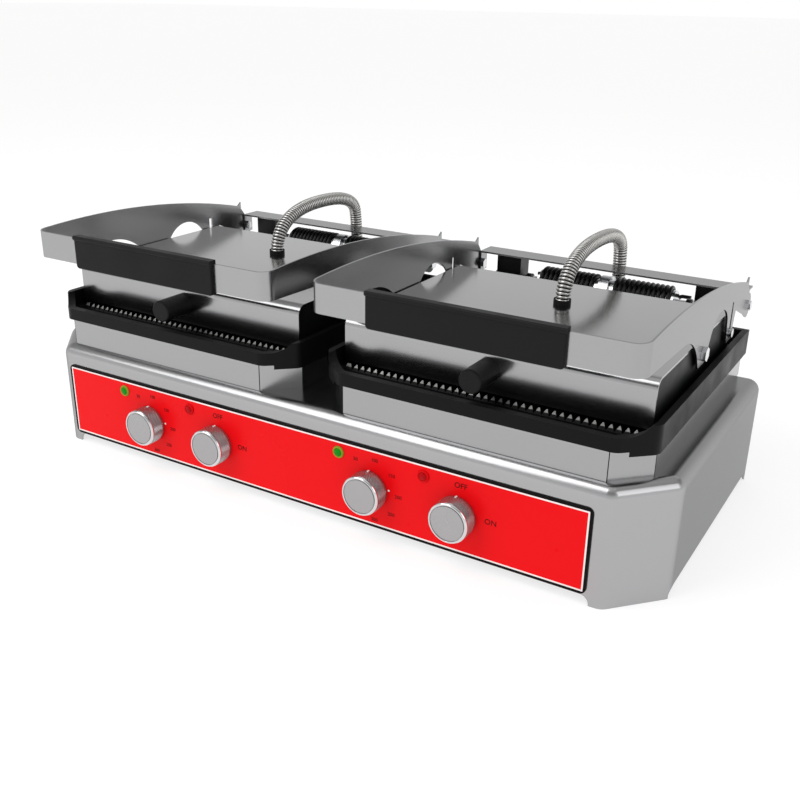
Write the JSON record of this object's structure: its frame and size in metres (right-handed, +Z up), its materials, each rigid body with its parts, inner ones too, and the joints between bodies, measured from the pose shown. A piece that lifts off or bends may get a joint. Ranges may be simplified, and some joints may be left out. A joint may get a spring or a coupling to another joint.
{
  "type": "double sandwich maker",
  "caption": "Countertop double contact grill: folded steel base with red knob panel, ribbed cast plates, and sprung hinged lids carrying self-levelling upper plates.",
  "frame": {"origin": "middle of the machine's bounding box in plan, on the table", "axes": "+X to the user's right along the control panel, +Y to the back, +Z up"},
  "size_m": [0.7752, 0.4274, 0.2713],
  "materials": {
    "stainless_steel": "satin",
    "cast_iron": "black enamelled, semi-matt",
    "black_plastic": "matt black",
    "black_steel": "black oxide",
    "bright_steel": "bright zinc plated",
    "conduit_steel": "bright strip-wound steel",
    "satin_metal": "satin",
    "heater_sheath": "dark sheath",
    "dark_moulding": "moulded",
    "pale_moulding": "moulded",
    "red_panel": "gloss red print with a black border",
    "green_lens": "gloss",
    "red_lens": "gloss"
  },
  "bodies": {
    "base": {"base_bottom_plate": "stainless_steel", "base_shell": "stainless_steel", "bracket_bolts": "bright_steel", "cable_gland": "black_plastic", "control_panel": "red_panel", "green_pilot_lights": "green_lens", "left_conduit": "conduit_steel", "left_conduit_foot": "black_plastic", "left_hinge_brackets": "black_steel", "left_hinge_shaft": "bright_steel", "left_hinge_springs": "black_steel", "left_lower_heater": "heater_sheath", "left_lower_plate": "cast_iron", "left_pedestal": "stainless_steel", "left_power_switch": "dark_moulding", "left_spring_barrel": "bright_steel", "left_thermostat": "dark_moulding", "red_pilot_lights": "red_lens", "right_conduit": "conduit_steel", "right_conduit_foot": "black_plastic", "right_hinge_brackets": "black_steel", "right_hinge_shaft": "bright_steel", "right_hinge_springs": "black_steel", "right_lower_heater": "heater_sheath", "right_lower_plate": "cast_iron", "right_pedestal": "stainless_steel", "right_power_switch": "dark_moulding", "right_spring_barrel": "bright_steel", "right_thermostat": "dark_moulding", "terminal_block": "pale_moulding"},
    "left_lid": {"left_lid_frame": "stainless_steel", "left_rear_strip": "stainless_steel", "left_strip_bolts": "bright_steel", "left_hinge_knuckles": "black_steel", "left_grip": "black_plastic"},
    "left_upper": {"left_upper_cover": "stainless_steel", "left_upper_plate": "cast_iron", "left_upper_heater": "heater_sheath", "left_tilt_handle": "black_plastic", "left_pivot_bolts": "bright_steel", "left_stop_screws": "bright_steel", "left_conduit_collar": "black_plastic"},
    "left_thermostat_dial": {"left_thermostat_knob": "satin_metal"},
    "left_switch_dial": {"left_switch_knob": "satin_metal"},
    "right_lid": {"right_lid_frame": "stainless_steel", "right_rear_strip": "stainless_steel", "right_strip_bolts": "bright_steel", "right_hinge_knuckles": "black_steel", "right_grip": "black_plastic"},
    "right_upper": {"right_upper_cover": "stainless_steel", "right_upper_plate": "cast_iron", "right_upper_heater": "heater_sheath", "right_tilt_handle": "black_plastic", "right_pivot_bolts": "bright_steel", "right_stop_screws": "bright_steel", "right_conduit_collar": "black_plastic"},
    "right_thermostat_dial": {"right_thermostat_knob": "satin_metal"},
    "right_switch_dial": {"right_switch_knob": "satin_metal"}
  },
  "joints": [
    {"name": "left_lid_hinge", "type": "hinge", "parent": "base", "child": "left_lid", "pos_m": [-0.1914, 0.1754, 0.184], "axis": [-1, 0, 0], "range_deg": [0, 70], "deforming": ["left_hinge_springs", "left_conduit"]},
    {"name": "left_plate_tilt", "type": "hinge", "parent": "left_lid", "child": "left_upper", "pos_m": [-0.1914, -0.0146, 0.196], "axis": [1, 0, 0], "range_deg": [-1.2, 1.2], "deforming": ["left_conduit"]},
    {"name": "left_thermostat_turn", "type": "hinge", "parent": "base", "child": "left_thermostat_dial", "pos_m": [-0.20535, -0.1926, 0.053], "axis": [0, 1, 0], "range_deg": [0, 270]},
    {"name": "left_switch_turn", "type": "hinge", "parent": "base", "child": "left_switch_dial", "pos_m": [-0.10675, -0.1926, 0.053], "axis": [0, 1, 0], "range_deg": [0, 90]},
    {"name": "right_lid_hinge", "type": "hinge", "parent": "base", "child": "right_lid", "pos_m": [0.1914, 0.1754, 0.184], "axis": [-1, 0, 0], "range_deg": [0, 70], "deforming": ["right_hinge_springs", "right_conduit"]},
    {"name": "right_plate_tilt", "type": "hinge", "parent": "right_lid", "child": "right_upper", "pos_m": [0.1914, -0.0146, 0.196], "axis": [1, 0, 0], "range_deg": [-1.2, 1.2], "deforming": ["right_conduit"]},
    {"name": "right_thermostat_turn", "type": "hinge", "parent": "base", "child": "right_thermostat_dial", "pos_m": [0.09295, -0.1926, 0.053], "axis": [0, 1, 0], "range_deg": [0, 270]},
    {"name": "right_switch_turn", "type": "hinge", "parent": "base", "child": "right_switch_dial", "pos_m": [0.19155, -0.1926, 0.053], "axis": [0, 1, 0], "range_deg": [0, 90]}
  ]
}
